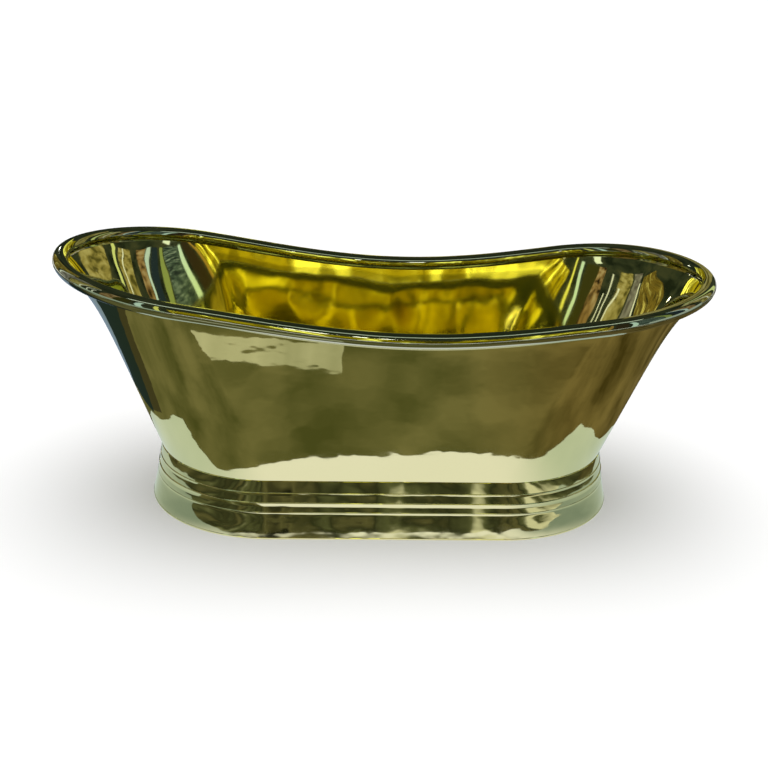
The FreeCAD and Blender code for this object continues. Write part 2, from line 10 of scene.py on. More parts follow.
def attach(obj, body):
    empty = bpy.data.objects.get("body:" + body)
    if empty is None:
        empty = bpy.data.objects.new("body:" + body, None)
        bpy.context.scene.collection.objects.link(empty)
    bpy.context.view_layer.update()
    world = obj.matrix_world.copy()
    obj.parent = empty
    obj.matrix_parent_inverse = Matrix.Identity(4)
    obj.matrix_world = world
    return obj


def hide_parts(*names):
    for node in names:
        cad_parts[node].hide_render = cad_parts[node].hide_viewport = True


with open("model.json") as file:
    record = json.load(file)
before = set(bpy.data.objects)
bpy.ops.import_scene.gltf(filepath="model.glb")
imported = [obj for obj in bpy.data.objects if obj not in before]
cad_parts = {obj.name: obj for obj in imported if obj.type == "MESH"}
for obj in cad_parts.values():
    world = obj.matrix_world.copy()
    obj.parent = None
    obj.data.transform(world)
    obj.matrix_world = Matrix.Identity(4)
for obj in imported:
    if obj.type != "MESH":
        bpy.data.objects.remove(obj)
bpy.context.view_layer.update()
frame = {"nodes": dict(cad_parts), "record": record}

# Rim: the middle line of the hollow roll, seen from above
RIM_HALF_LENGTH = 0.83025
RIM_HALF_WIDTH = 0.34525
RIM_STRAIGHT = 0.4965
RIM_FULLNESS = 1.96
ROLL_RADIUS = 0.01975

# Heights of that line at the ends and halfway along, and its curve between them: powers of
# the distance from the middle, each with its share of the rise
LEFT_HEIGHT = 0.65375
RIGHT_HEIGHT = 0.62725
SIDE_HEIGHT = 0.54775
EVEN_SHEER = ((2, 1.918), (4, -1.331), (6, 0.413))
ODD_SHEER = ((1, 2.267), (3, -3.197), (5, 1.93))

# Body: the wall starts at the neck and meets the roll a crease angle, in degrees, below the
# roll's inner side, with a seam gap left between them
NECK_HALF_LENGTH = 0.5975
NECK_HALF_WIDTH = 0.285
NECK_STRAIGHT = 0.2985
NECK_FULLNESS = 2.025
NECK_HEIGHT = 0.15
CREASE_ANGLE = 60.0
WALL_FLARE = 0.167
WALL_FLARE_POWER = 8.0
PAN_UNDERSIDE = 0.0985
SHEET = 0.0015
SEAM_GAP = 0.0003
WASTE_HOLE = 0.0249

# Plinth: how far each face stands out from the neck, and where each moulding starts
BAND_TOP_OUT = 0.0018
BAND_OUT = 0.0045
UPPER_BEAD_OUT = 0.009
LOWER_BEAD_OUT = 0.0137
SKIRT_SHOULDER_OUT = 0.0145
SKIRT_FLARE_OUT = 0.0278
LIP_OUT = 0.0288
FOOT_RING_WIDTH = 0.013
BAND_LOW = 0.12
UPPER_BEAD_LOW = 0.095
LOWER_BEAD_LOW = 0.07
FOOT_RING_TOP = 0.005
SKIRT_SHOULDER_SHARE = 0.06
SKIRT_FLARE_POWER = 1.08

# Each bead from its top: the share of its step in the rounded shoulder, the share of its
# height there and down to the end of its upright face
UPPER_BEAD_SHARES = (0.38, 0.08, 0.2)
LOWER_BEAD_SHARES = (0.47, 0.1, 0.42)

# Plug cap
PLUG_RADIUS = 0.031
PLUG_LOW = 0.106
PLUG_CORNER = 0.0004
PLUG_EDGE = 0.002
PLUG_CROWN = 0.0025

# Points round each ring: one end of the bath, and one straight side
END_POINTS = 160
SIDE_POINTS = 32

# Steps of each profile, and the shares of the way over the flat floor to the waste hole
WALL_STEPS = 36
PAN_STEPS = 14
FLOOR_SHARES = (0.0, 0.25, 0.5, 0.75, 0.9, 1.0)
ROLL_STEPS = 44
BAND_STEPS = 6
BEAD_SHOULDER_STEPS = 8
BEAD_FLARE_STEPS = 6
SKIRT_SHOULDER_STEPS = 5
SKIRT_FLARE_STEPS = 18
LIP_STEPS = 8
CROWN_STEPS = 16
PLUG_SPIN_STEPS = 72

# Edges sharper than this, in degrees, stay sharp, and points closer than this are merged
SHARP_ANGLE = 30.0
PLUG_SHARP_ANGLE = 40.0
MERGE_DISTANCE = 0.00001


# Outlines of the bath

def stations():
    """Places anticlockwise round the bath, as in the CAD model."""
    places = []
    for step in range(END_POINTS):
        turn = math.pi * (step / END_POINTS - 0.5)
        places.append(("right", math.cos(turn), math.sin(turn)))
    for step in range(SIDE_POINTS):
        places.append(("side", 1 - 2 * step / SIDE_POINTS, 1))
    for step in range(END_POINTS):
        turn = math.pi * (step / END_POINTS + 0.5)
        places.append(("left", math.cos(turn), math.sin(turn)))
    for step in range(SIDE_POINTS):
        places.append(("side", 2 * step / SIDE_POINTS - 1, -1))
    return places


STATIONS = stations()


def outline_point(station, half_length, half_width, straight, fullness):
    """Place and outward direction on a straight middle between two superellipse ends."""
    kind, first, second = station
    if kind == "side":
        return first * straight, second * half_width, 0.0, float(second)
    end_length = half_length - straight
    radius = (abs(first / end_length) ** fullness
              + abs(second / half_width) ** fullness) ** (-1.0 / fullness)
    x, y = radius * first, radius * second
    gx = math.copysign(abs(x / end_length) ** (fullness - 1) / end_length, first)
    gy = math.copysign(abs(y / half_width) ** (fullness - 1) / half_width, second)
    size = math.hypot(gx, gy)
    return x + (straight if kind == "right" else -straight), y, gx / size, gy / size


def rim_point(station):
    return outline_point(station, RIM_HALF_LENGTH, RIM_HALF_WIDTH, RIM_STRAIGHT, RIM_FULLNESS)


def neck_point(station):
    return outline_point(station, NECK_HALF_LENGTH, NECK_HALF_WIDTH, NECK_STRAIGHT, NECK_FULLNESS)


def sheer(x):
    """Height of the roll's centre at x, and its slope along x."""
    u = x / RIM_HALF_LENGTH
    height, steep = SIDE_HEIGHT, 0.0
    for rise, powers in (((LEFT_HEIGHT + RIGHT_HEIGHT) / 2 - SIDE_HEIGHT, EVEN_SHEER),
                         ((RIGHT_HEIGHT - LEFT_HEIGHT) / 2, ODD_SHEER)):
        for power, share in powers:
            height += rise * share * u ** power
            steep += rise * share * power * u ** (power - 1) / RIM_HALF_LENGTH
    return height, steep


def on_roll(station, turn, radius):
    """A point round the roll: turn 0 is the outer side, a quarter turn its top."""
    x, y, nx, ny = rim_point(station)
    z, slope = sheer(x)
    forward = Vector((-ny, nx, -ny * slope)).normalized()
    outward = Vector((nx, ny, 0))
    upward = outward.cross(forward)
    return (Vector((x, y, z)) + outward * (radius * math.cos(turn))
            + upward * (radius * math.sin(turn)))


def wall_point(station, share, inset):
    """A point of the wall's outer face, or of its inner face when inset by the sheet."""
    radius = ROLL_RADIUS + SEAM_GAP
    across = math.cos(math.radians(CREASE_ANGLE)) + inset / radius
    top = on_roll(station, math.pi + math.acos(across), radius)
    x, y, nx, ny = neck_point(station)
    foot = Vector((x - inset * nx, y - inset * ny, NECK_HEIGHT))
    level = top - foot
    part = (1 - WALL_FLARE) * share + WALL_FLARE * share ** WALL_FLARE_POWER
    return Vector((foot.x + level.x * part, foot.y + level.y * part, foot.z + level.z * share))


def pan_point(station, share, inset):
    """A point of the pan's turned-up edge: share 0 at the flat floor, 1 at the neck."""
    x, y, nx, ny = neck_point(station)
    above = wall_point(station, 1.0, 0.0)
    run = (above.x - x) * nx + (above.y - y) * ny
    steep = math.atan2(above.z - NECK_HEIGHT, run * (1 - WALL_FLARE))
    bend = (NECK_HEIGHT - PAN_UNDERSIDE) / (1 - math.cos(steep))
    turn = share * steep
    out = bend * (math.sin(turn) - math.sin(steep)) - inset * math.sin(turn)
    up = bend * (1 - math.cos(turn)) + inset * math.cos(turn)
    return Vector((x + out * nx, y + out * ny, PAN_UNDERSIDE + up))


def floor_point(edge, share, height):
    """A point of the flat floor on the way from the pan's edge to the waste hole."""
    turn = math.atan2(edge.y, edge.x)
    hole = Vector((WASTE_HOLE * math.cos(turn), WASTE_HOLE * math.sin(turn)))
    spot = Vector((edge.x, edge.y)).lerp(hole, share)
    return Vector((spot.x, spot.y, height))


def plinth_point(station, out, height):
    x, y, nx, ny = neck_point(station)
    return Vector((x + out * nx, y + out * ny, height))


# Mesh helpers

def shares(count):
    """Even shares from 0 to 1, both included."""
    return [step / count for step in range(count + 1)]


def between(start, end, share):
    return start + (end - start) * share


def ring_edges(ring):
    """The edges between the verts of a ring, in the order of its verts."""
    members = set(ring)
    around = dict.fromkeys(edge for vert in ring for edge in vert.link_edges)
    return [edge for edge in around if members.issuperset(edge.verts)]


def first_ring(mesh, points):
    """A closed ring of verts on its points."""
    ring = bmesh.ops.create_circle(mesh, segments=len(points), radius=1)["verts"]
    for vert, point in zip(ring, points):
        vert.co = point
    return ring


def next_ring(mesh, ring, points, coat=0):
    """Extrude a ring of verts once, and put the new ring on its points."""
    made = bmesh.ops.extrude_edge_only(mesh, edges=ring_edges(ring))["geom"]
    fresh = {item for item in made if isinstance(item, bmesh.types.BMVert)}
    for item in made:
        if isinstance(item, bmesh.types.BMFace):
            item.material_index = coat
    following = []
    for vert, point in zip(ring, points):
        new = next(e.other_vert(vert) for e in vert.link_edges if e.other_vert(vert) in fresh)
        new.co = point
        following.append(new)
    return following


def finish_mesh(name, mesh, sharp=SHARP_ANGLE):
    """A smooth-shaded object from a bmesh, with its sharp edges kept."""
    bmesh.ops.recalc_face_normals(mesh, faces=mesh.faces)
    data = bpy.data.meshes.new(name)
    mesh.to_mesh(data)
    mesh.free()
    data.shade_smooth()
    data.set_sharp_from_angle(angle=math.radians(sharp))
    item = bpy.data.objects.new(name, data)
    bpy.context.collection.objects.link(item)
    return item


def ring_skin(name, rows, inner=range(0)):
    """A closed skin: one ring of points is made and extruded row by row round a profile.
    The rows numbered in inner take the second material."""
    mesh = bmesh.new()
    ring = first_ring(mesh, rows[0])
    first = list(mesh.edges)
    for number, row in enumerate(rows[1:], start=1):
        ring = next_ring(mesh, ring, row, 1 if number in inner else 0)
    bmesh.ops.bridge_loops(mesh, edges=first + ring_edges(ring))
    return finish_mesh(name, mesh)


# Shader maths

class Maths:
    """A socket whose operators add Math nodes."""

    def __init__(self, paint, socket):
        self.paint = paint
        self.socket = socket

    def _with(self, operation, first, second):
        return self.paint.node("ShaderNodeMath", {"operation": operation}, {0: first, 1: second})

    def __add__(self, other):
        return self._with("ADD", self, other)

    def __radd__(self, other):
        return self._with("ADD", other, self)

    def __sub__(self, other):
        return self._with("SUBTRACT", self, other)

    def __rsub__(self, other):
        return self._with("SUBTRACT", other, self)

    def __mul__(self, other):
        return self._with("MULTIPLY", self, other)

    def __rmul__(self, other):
        return self._with("MULTIPLY", other, self)

    def __abs__(self):
        return self.paint.node("ShaderNodeMath", {"operation": "ABSOLUTE"}, {0: self})


class Paint:
    """A material or world being made of nodes."""

    def __init__(self, owner):
        owner.use_nodes = True
        self.tree = owner.node_tree
        self.tree.nodes.clear()

    def node(self, kind, settings=None, sockets=None, output=0):
        """A node by its type, its settings, and the values or links of its sockets."""
        made = self.tree.nodes.new(kind)
        for key, value in (settings or {}).items():
            if key == "stops":
                ramp = made.color_ramp
                while len(ramp.elements) < len(value):
                    ramp.elements.new(0.5)
                for element, (place, colour) in zip(ramp.elements, value):
                    element.position = place
                    element.color = (*colour, 1.0)
            else:
                setattr(made, key, value)
        for key, value in (sockets or {}).items():
            self.put(made.inputs[key], value)
        return Maths(self, made.outputs[output]) if made.outputs else None

    def put(self, socket, value):
        if isinstance(value, Maths):
            self.tree.links.new(value.socket, socket)
        elif isinstance(value, tuple) and socket.type == "RGBA":
            socket.default_value = (*value, 1.0)
        else:
            socket.default_value = value

    def place(self, stretch=(1.0, 1.0, 1.0)):
        """Object coordinates, stretched."""
        coordinates = self.node("ShaderNodeTexCoord", output="Object")
        return self.node("ShaderNodeMapping", {}, {"Vector": coordinates, "Scale": stretch})

    def along(self):
        """How far along the bath from its middle, negative to the left."""
        return self.node("ShaderNodeSeparateXYZ", {}, {"Vector": self.place()})

    def noise(self, scale, detail=2.0, stretch=(1.0, 1.0, 1.0), roughness=0.5):
        return self.node("ShaderNodeTexNoise", {}, {
            "Vector": self.place(stretch), "Scale": scale, "Detail": detail,
            "Roughness": roughness})

    def fade(self, value, low, high, kind="SMOOTHSTEP"):
        """Nothing where a value is at its low end, one at its high end."""
        return self.node("ShaderNodeMapRange", {"interpolation_type": kind}, {
            "Value": value, "From Min": low, "From Max": high})

    def mix(self, factor, first, second):
        """A colour between two, through a Mix node."""
        made = self.tree.nodes.new("ShaderNodeMix")
        made.data_type = "RGBA"
        colours = [s for s in made.inputs if s.type == "RGBA"]
        self.put(made.inputs[0], factor)
        self.put(colours[0], first)
        self.put(colours[1], second)
        return Maths(self, [s for s in made.outputs if s.type == "RGBA"][0])

    def bump(self, height, strength, distance, under=None):
        """A relief, laid over another one if that is given."""
        sockets = {"Height": height, "Strength": strength, "Distance": distance}
        if under is not None:
            sockets["Normal"] = under
        return self.node("ShaderNodeBump", {}, sockets)

    def glow(self, colour, strength):
        return self.node("ShaderNodeEmission", {}, {"Color": colour, "Strength": strength})

    def cover(self, shader):
        """The shader becomes the surface of the material."""
        self.node("ShaderNodeOutputMaterial", {}, {"Surface": shader})

    def principled(self, **sockets):
        named = {key.replace("_", " ").title(): value for key, value in sockets.items()}
        self.cover(self.node("ShaderNodeBsdfPrincipled", {}, named))


def material(name):
    made = bpy.data.materials.new(name)
    return made, Paint(made)


# Finishes of the bath

# Pairs of tones that a finish varies between
BRASS_TONES = ((0.79, 0.76, 0.44), (0.74, 0.71, 0.385))
# Deep gold of the inside's middle: a painted reflection of warm light, not the brass's own tone
DEEP_GOLD_PAINTED_REFLECTION_TONES = ((0.88, 0.81, 0.24), (0.82, 0.74, 0.17))
# The roll: the same brass made darker and greyer, painted shade and a painted cool reflection of
# the dark room it mirrors
ROLL_PAINTED_SHADE_TONES = ((0.54, 0.56, 0.42), (0.44, 0.46, 0.33))
TURNED_TONES = ((0.79, 0.74, 0.42), (0.72, 0.66, 0.34))
ZINC_TONES = ((0.66, 0.66, 0.63), (0.5, 0.51, 0.5))
FELT_TONES = ((0.14, 0.135, 0.12), (0.34, 0.33, 0.3))
RUBBER_TONES = ((0.02, 0.02, 0.02), (0.05, 0.05, 0.048))
PAINT_TONES = ((0.05, 0.05, 0.05), (0.04, 0.04, 0.04))
BLACK_PLASTIC_TONES = ((0.03, 0.03, 0.03), (0.0475, 0.0475, 0.0475))
NYLON_TONES = ((0.78, 0.77, 0.72), (0.985, 0.9725, 0.91))

# Roughness of the finishes: the least of each, and what its pattern adds. Felt is even.
SHEET_ROUGHNESS = (0.02, 0.045)
TURNED_ROUGHNESS = (0.06, 0.06)
PAINT_ROUGHNESS = (0.4, 0.1)
ZINC_ROUGHNESS = (0.25, 0.2)
RUBBER_ROUGHNESS = (0.55, 0.2)
PLASTIC_ROUGHNESS = (0.4, 0.15)
FELT_ROUGHNESS = 0.95
FELT_SHEEN = 0.3

# Surface of the polished sheet outside and inside the bath: the upright stretch of its slow
# waves and their depth, then the scale, stretch and depth of the hammer marks over them
OUTER_SURFACE = (0.45, 0.0056, 17.0, (0.8, 0.8, 1.2), 0.0007)
INNER_SURFACE = (0.2, 0.012, 6.5, (0.8, 0.8, 0.7), 0.006)

# Deep gold painted into the middle of the inside, a painted reflection of warm light: how far
# it reaches along the bath each way, how uneven its edge is, and the roughness that it adds
PAINTED_GOLD_FULL = 0.44
PAINTED_GOLD_END = 0.62
PAINTED_GOLD_UNEVEN = 0.2
GOLD_SHEEN = 0.045


def uneven(roughness, pattern):
    """A roughness that varies with a pattern."""
    least, added = roughness
    return least + pattern * added


def mirror_brass(name, tones=BRASS_TONES, inner=False):
    """Sheet brass, beaten, planished and mirror polished: slow waves, hammer marks and faint
    buffing haze. Inside the bath the middle has a deeper gold painted into its colour, a painted
    reflection of warm light that fades out towards the ends."""
    made, paint = material(name)
    tone = paint.noise(scale=2.2, detail=3.0)
    colour = paint.mix(tone, *tones)
    sheen = 0.0
    if inner:
        # Painted reflection: the middle of the inside takes a deeper gold colour for the warm
        # light it mirrors
        away = abs(paint.along()) + tone * PAINTED_GOLD_UNEVEN
        fade = paint.fade(away, PAINTED_GOLD_FULL + PAINTED_GOLD_UNEVEN / 2, PAINTED_GOLD_END + PAINTED_GOLD_UNEVEN / 2)
        colour = paint.mix(fade, paint.mix(tone, *DEEP_GOLD_PAINTED_REFLECTION_TONES), colour)
        sheen = GOLD_SHEEN - fade * GOLD_SHEEN
    surface = INNER_SURFACE if inner else OUTER_SURFACE
    upright, waves_depth, marks_scale, marks_stretch, marks_depth = surface
    waves = paint.noise(scale=5.0, detail=1.0, stretch=(1.0, 1.0, upright))
    marks = paint.noise(scale=marks_scale, detail=1.5, stretch=marks_stretch)
    haze = paint.noise(scale=60.0, detail=3.0, stretch=(1.0, 1.0, 2.0))
    least, added = SHEET_ROUGHNESS
    swept = paint.bump(waves, strength=1.0, distance=waves_depth)
    worked = paint.bump(marks, strength=1.0, distance=marks_depth, under=swept)
    paint.principled(base_color=colour, metallic=1.0, roughness=sheen + least + haze * added,
                     normal=worked)
    return made


def turned_finish():
    """Turned and polished brass of the waste and plug, with faint tool rings."""
    made, paint = material("turned_brass")
    tone = paint.noise(scale=9.0)
    rings = paint.node("ShaderNodeTexWave", {"wave_type": "RINGS", "rings_direction": "Z"},
                       {"Vector": paint.place(), "Scale": 220.0, "Distortion": 0.4})
    paint.principled(base_color=paint.mix(tone, *TURNED_TONES), metallic=1.0,
                     roughness=uneven(TURNED_ROUGHNESS, tone),
                     normal=paint.bump(rings, strength=0.25, distance=0.0001))
    return made


def satin_paint():
    """Satin black paint with faint orange peel."""
    made, paint = material("satin_black_paint")
    tone = paint.noise(scale=12.0)
    gloss = paint.noise(scale=36.0)
    peel = paint.noise(scale=900.0)
    paint.principled(base_color=paint.mix(tone, *PAINT_TONES),
                     roughness=uneven(PAINT_ROUGHNESS, gloss),
                     normal=paint.bump(peel, strength=0.4, distance=0.0002))
    return made


def zinc_plate():
    """Zinc-plated steel with faint crystals."""
    made, paint = material("zinc_plate")
    crystals = paint.noise(scale=260.0, detail=3.0)
    paint.principled(base_color=paint.mix(crystals, *ZINC_TONES), metallic=1.0,
                     roughness=uneven(ZINC_ROUGHNESS, crystals),
                     normal=paint.bump(crystals, strength=0.25, distance=0.0002))
    return made


def wool_felt():
    """Grey pressed felt with loose fibres."""
    made, paint = material("wool_felt")
    fibres = paint.noise(scale=700.0, detail=6.0, stretch=(1.0, 0.35, 1.0), roughness=0.7)
    paint.principled(base_color=paint.mix(fibres, *FELT_TONES), roughness=FELT_ROUGHNESS,
                     sheen_weight=FELT_SHEEN,
                     normal=paint.bump(fibres, strength=0.8, distance=0.0006))
    return made


def black_rubber():
    """Moulded rubber with a matt grain."""
    made, paint = material("black_rubber")
    grain = paint.noise(scale=500.0, detail=3.0)
    paint.principled(base_color=paint.mix(grain, *RUBBER_TONES),
                     roughness=uneven(RUBBER_ROUGHNESS, grain),
                     normal=paint.bump(grain, strength=0.4, distance=0.0002))
    return made


def moulded_plastic(name, tones):
    """Moulded plastic with a fine spark-eroded texture."""
    made, paint = material(name)
    grain = paint.noise(scale=1100.0)
    tone = paint.noise(scale=40.0)
    paint.principled(base_color=paint.mix(tone, *tones),
                     roughness=uneven(PLASTIC_ROUGHNESS, grain),
                     normal=paint.bump(grain, strength=0.4, distance=0.00015))
    return made


# Brass pieces of the bath

def bath_body():
    """Walls and floor pan as one polished skin: out and up, over the edge, down and in."""
    rows = []
    for share in shares(WALL_STEPS):
        rows.append([wall_point(s, share, 0.0) for s in STATIONS])
    inner_start = len(rows)
    for share in reversed(shares(WALL_STEPS)):
        rows.append([wall_point(s, share, SHEET) for s in STATIONS])
    for share in reversed(shares(PAN_STEPS)[:-1]):
        rows.append([pan_point(s, share, SHEET) for s in STATIONS])
    flat = rows[-1]
    for share in FLOOR_SHARES[1:]:
        rows.append([floor_point(edge, share, PAN_UNDERSIDE + SHEET) for edge in flat])
    inner_end = len(rows)
    for share in reversed(FLOOR_SHARES):
        rows.append([floor_point(edge, share, PAN_UNDERSIDE) for edge in flat])
    for share in shares(PAN_STEPS)[1:-1]:
        rows.append([pan_point(s, share, 0.0) for s in STATIONS])
    return ring_skin("bath_body", rows, inner=range(inner_start, inner_end))


def rolled_rim():
    """The hollow roll as one unbroken polished tube."""
    rows = []
    for step in range(ROLL_STEPS):
        turn = 2 * math.pi * step / ROLL_STEPS
        rows.append([on_roll(s, turn, ROLL_RADIUS) for s in STATIONS])
    return ring_skin("rolled_rim", rows)


def moulding(name, profile):
    """A ring of sheet round the plinth from a profile of (step out, height)."""
    rows = [[plinth_point(s, out, height) for s in STATIONS] for out, height in profile]
    rows += [[plinth_point(s, out - SHEET, height) for s in STATIONS]
             for out, height in reversed(profile)]
    return ring_skin(name, rows)


def neck_band():
    """A plain band that flares slightly under the body."""
    profile = [(between(BAND_TOP_OUT, BAND_OUT, share), between(NECK_HEIGHT, BAND_LOW, share))
               for share in shares(BAND_STEPS)]
    return moulding("neck_band_skin", profile)


def bead(name, top_out, face_out, top, low, shape):
    """A moulding with a rounded shoulder, a short upright face and a flare to its foot."""
    shoulder_share, round_share, upright_share = shape
    shoulder = (face_out - top_out) * shoulder_share
    depth = (top - low) * round_share
    profile = []
    for share in shares(BEAD_SHOULDER_STEPS):
        turn = share * math.pi / 2
        profile.append((top_out + shoulder * math.sin(turn), top - depth * (1 - math.cos(turn))))
    upright_low = between(top, low, upright_share)
    profile.append((top_out + shoulder, upright_low))
    for share in shares(BEAD_FLARE_STEPS)[1:]:
        profile.append((between(top_out + shoulder, face_out, share),
                        between(upright_low, low, share)))
    return moulding(name, profile)


def skirt():
    """The flared skirt, with a rounded top step."""
    shoulder_low = between(LOWER_BEAD_LOW, FOOT_RING_TOP, SKIRT_SHOULDER_SHARE)
    profile = []
    for share in shares(SKIRT_SHOULDER_STEPS):
        turn = share * math.pi / 2
        profile.append((between(LOWER_BEAD_OUT, SKIRT_SHOULDER_OUT, math.sin(turn)),
                        between(LOWER_BEAD_LOW, shoulder_low, 1 - math.cos(turn))))
    for share in shares(SKIRT_FLARE_STEPS)[1:]:
        profile.append((between(SKIRT_SHOULDER_OUT, SKIRT_FLARE_OUT, share ** SKIRT_FLARE_POWER),
                        between(shoulder_low, FOOT_RING_TOP, share)))
    return moulding("plinth_skirt", profile)


def foot_ring():
    """The flat ring at the floor, with its rounded lip."""
    profile = []
    lip = LIP_OUT - SKIRT_FLARE_OUT
    for share in shares(LIP_STEPS):
        turn = math.pi * (0.5 - share)
        profile.append((SKIRT_FLARE_OUT + lip * math.cos(turn),
                        FOOT_RING_TOP / 2 * (1 + math.sin(turn))))
    inside = SKIRT_FLARE_OUT - FOOT_RING_WIDTH
    profile += [(inside, 0.0), (inside, FOOT_RING_TOP)]
    rows = [[plinth_point(s, out, height) for s in STATIONS] for out, height in profile]
    return ring_skin("plinth_foot", rows)


def plug_cap():
    """The crowned plug cap, turned and softly edged."""
    mesh = bmesh.new()
    profile = [(0.0, PLUG_LOW), (PLUG_RADIUS - PLUG_CORNER, PLUG_LOW),
               (PLUG_RADIUS, PLUG_LOW + PLUG_CORNER)]
    edge_top = PLUG_LOW + PLUG_EDGE
    for share in shares(CROWN_STEPS):
        radius = PLUG_RADIUS * (1 - share)
        rise = 1 - (radius / PLUG_RADIUS) ** 2
        profile.append((radius, edge_top + PLUG_CROWN * rise))
    verts = [mesh.verts.new((r, 0.0, z)) for r, z in profile]
    edges = [mesh.edges.new(pair) for pair in zip(verts, verts[1:])]
    bmesh.ops.spin(mesh, geom=verts + edges, cent=(0, 0, 0), axis=(0, 0, 1),
                   steps=PLUG_SPIN_STEPS, angle=math.tau, use_merge=True)
    bmesh.ops.remove_doubles(mesh, verts=mesh.verts, dist=MERGE_DISTANCE)
    return finish_mesh("plug_cap_crown", mesh, PLUG_SHARP_ANGLE)


brass = mirror_brass("mirror_brass")
# The inside: brass at the ends, with a painted reflection of warm light as deep gold in the
# middle
inner_brass_and_painted_gold = mirror_brass("inner_brass_and_painted_gold", inner=True)
# The roll's brass is a darker, greyer copy: painted shade and a painted cool reflection of the
# dark room
roll_brass_painted_shade = mirror_brass("roll_brass_painted_shade", ROLL_PAINTED_SHADE_TONES)
turned_brass = turned_finish()


def dress(item, coat, slot, body, *nodes):
    """Give a piece its finish, its body and the CAD nodes that it stands for."""
    item.data.materials.append(coat)
    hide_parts(*nodes)
    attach(item, body)
    return item


body_skin = dress(bath_body(), brass, "polished_brass", "tub", "floor_pan", "front_wall",
                  "rear_wall", "left_end_wall", "right_end_wall")
body_skin.data.materials.append(inner_brass_and_painted_gold)
dress(rolled_rim(), roll_brass_painted_shade, "polished_brass", "tub", "rim_roll_front", "rim_roll_rear",
      "rim_roll_left", "rim_roll_right")
dress(neck_band(), brass, "polished_brass", "tub", "neck_band")
upper_bead = bead("upper_bead_skin", BAND_OUT, UPPER_BEAD_OUT, BAND_LOW, UPPER_BEAD_LOW,
                  UPPER_BEAD_SHARES)
dress(upper_bead, brass, "polished_brass", "tub", "upper_bead")
lower_bead = bead("lower_bead_skin", UPPER_BEAD_OUT, LOWER_BEAD_OUT, UPPER_BEAD_LOW,
                  LOWER_BEAD_LOW, LOWER_BEAD_SHARES)
dress(lower_bead, brass, "polished_brass", "tub", "lower_bead")
dress(skirt(), brass, "polished_brass", "tub", "skirt_front", "skirt_rear")
dress(foot_ring(), brass, "polished_brass", "tub", "foot_ring")
dress(plug_cap(), turned_brass, "waste_brass", "plug", "plug_cap")


# Finishes of the CAD nodes that stay

coats = {
    "polished_brass": brass,
    "waste_brass": turned_brass,
    "painted_steel": satin_paint(),
    "zinc_steel": zinc_plate(),
    "felt": wool_felt(),
    "foot_plastic": moulded_plastic("foot_plastic", BLACK_PLASTIC_TONES),
    "seal_rubber": black_rubber(),
    "washer_nylon": moulded_plastic("washer_nylon", NYLON_TONES),
}
for part in frame["record"]["subparts"]:
    item = frame["nodes"][part["node"]]
    item.data.materials.clear()
    item.data.materials.append(coats[part["material_slot"]])


# Studio

# Floor, and the light of the room and the one lamp, whose angle and tilt are in degrees
FLOOR_SIZE = 40.0
FLOOR_GLOW = 0.125
FLOOR_TONE = (0.8, 0.8, 0.8)
WHITE = (1.0, 1.0, 1.0)
ROOM_LIGHT = 0.5
SUN_LIGHT = 2.2
SUN_ANGLE = 60.0
SUN_TILT = -3.0


def seen_directly(paint):
    """One where a ray from the camera, a mirror or glass looks, and nothing for soft light."""
    rays = paint.tree.nodes.new("ShaderNodeLightPath")
    looks = [Maths(paint, rays.outputs[name])
             for name in ("Is Camera Ray", "Is Glossy Ray", "Is Transmission Ray")]
    return looks[0] + looks[1] + looks[2]


def floor():
    """A pale floor that keeps the bath's shadow."""
    mesh = bmesh.new()
    bmesh.ops.create_grid(mesh, x_segments=1, y_segments=1, size=FLOOR_SIZE)
    item = finish_mesh("studio_floor", mesh)
    made, paint = material("studio_floor")
    glow = paint.glow(WHITE, seen_directly(paint) * FLOOR_GLOW)
    matt = paint.node("ShaderNodeBsdfDiffuse", {}, {"Color": FLOOR_TONE})
    paint.cover(paint.node("ShaderNodeAddShader", {}, {0: glow, 1: matt}))
    item.data.materials.append(made)


def backdrop_world():
    """White behind the bath, a plain level of light on everything else."""
    world = bpy.data.worlds.new("studio")
    bpy.context.scene.world = world
    paint = Paint(world)
    level = ROOM_LIGHT + seen_directly(paint) * (1.0 - ROOM_LIGHT)
    shade = paint.node("ShaderNodeBackground", {}, {"Color": WHITE, "Strength": level})
    paint.node("ShaderNodeOutputWorld", {}, {"Surface": shade})


def soft_sky():
    """One large overhead light, soft enough to leave no hard shadow."""
    lamp = bpy.data.lights.new("overhead_light", "SUN")
    lamp.energy = SUN_LIGHT
    lamp.angle = math.radians(SUN_ANGLE)
    item = bpy.data.objects.new("overhead_light", lamp)
    bpy.context.collection.objects.link(item)
    item.rotation_euler = (math.radians(SUN_TILT), 0.0, 0.0)
    item.visible_glossy = False


# Scenery that only the polished metal sees

# Edge of the pale ground in front of the bath, from the middle to the right end and from the
# left end to the middle, and the card that shows under the rim
GROUND_RIGHT = (
    (0.0, -0.59), (0.17, -0.6), (0.29, -0.61), (0.41, -0.59), (0.5, -0.52), (0.6, -0.47),
    (0.72, -0.44), (0.81, -0.39), (0.85, -0.22), (0.82, -0.02))
GROUND_LEFT = (
    (-0.86, 0.05), (-0.87, -0.2), (-0.82, -0.29), (-0.7, -0.31), (-0.57, -0.35),
    (-0.46, -0.45), (-0.34, -0.54), (-0.2, -0.575))
UNDER_RIM_CARD = (
    (-0.117, -0.525), (-0.207, -0.545), (-0.29, -0.56), (-0.371, -0.572), (-0.45, -0.582),
    (-0.62, -0.59), (-0.62, -0.7), (-0.117, -0.7))

# Sizes, distances from the bath's middle and heights of the scenery
DOME_RADIUS = 6.0
DOME_MERIDIANS = 48
DOME_PARALLELS = 24
PANEL_DISTANCE = 4.0
STRIP_DISTANCE = 3.95
GLOW_DISTANCE = 3.9
FRONT_STRIP_HEIGHT = 3.6
UNDER_RIM_HEIGHT = 0.3
PATCH_HEIGHT = 0.002
GROUND_HEIGHT = 0.001

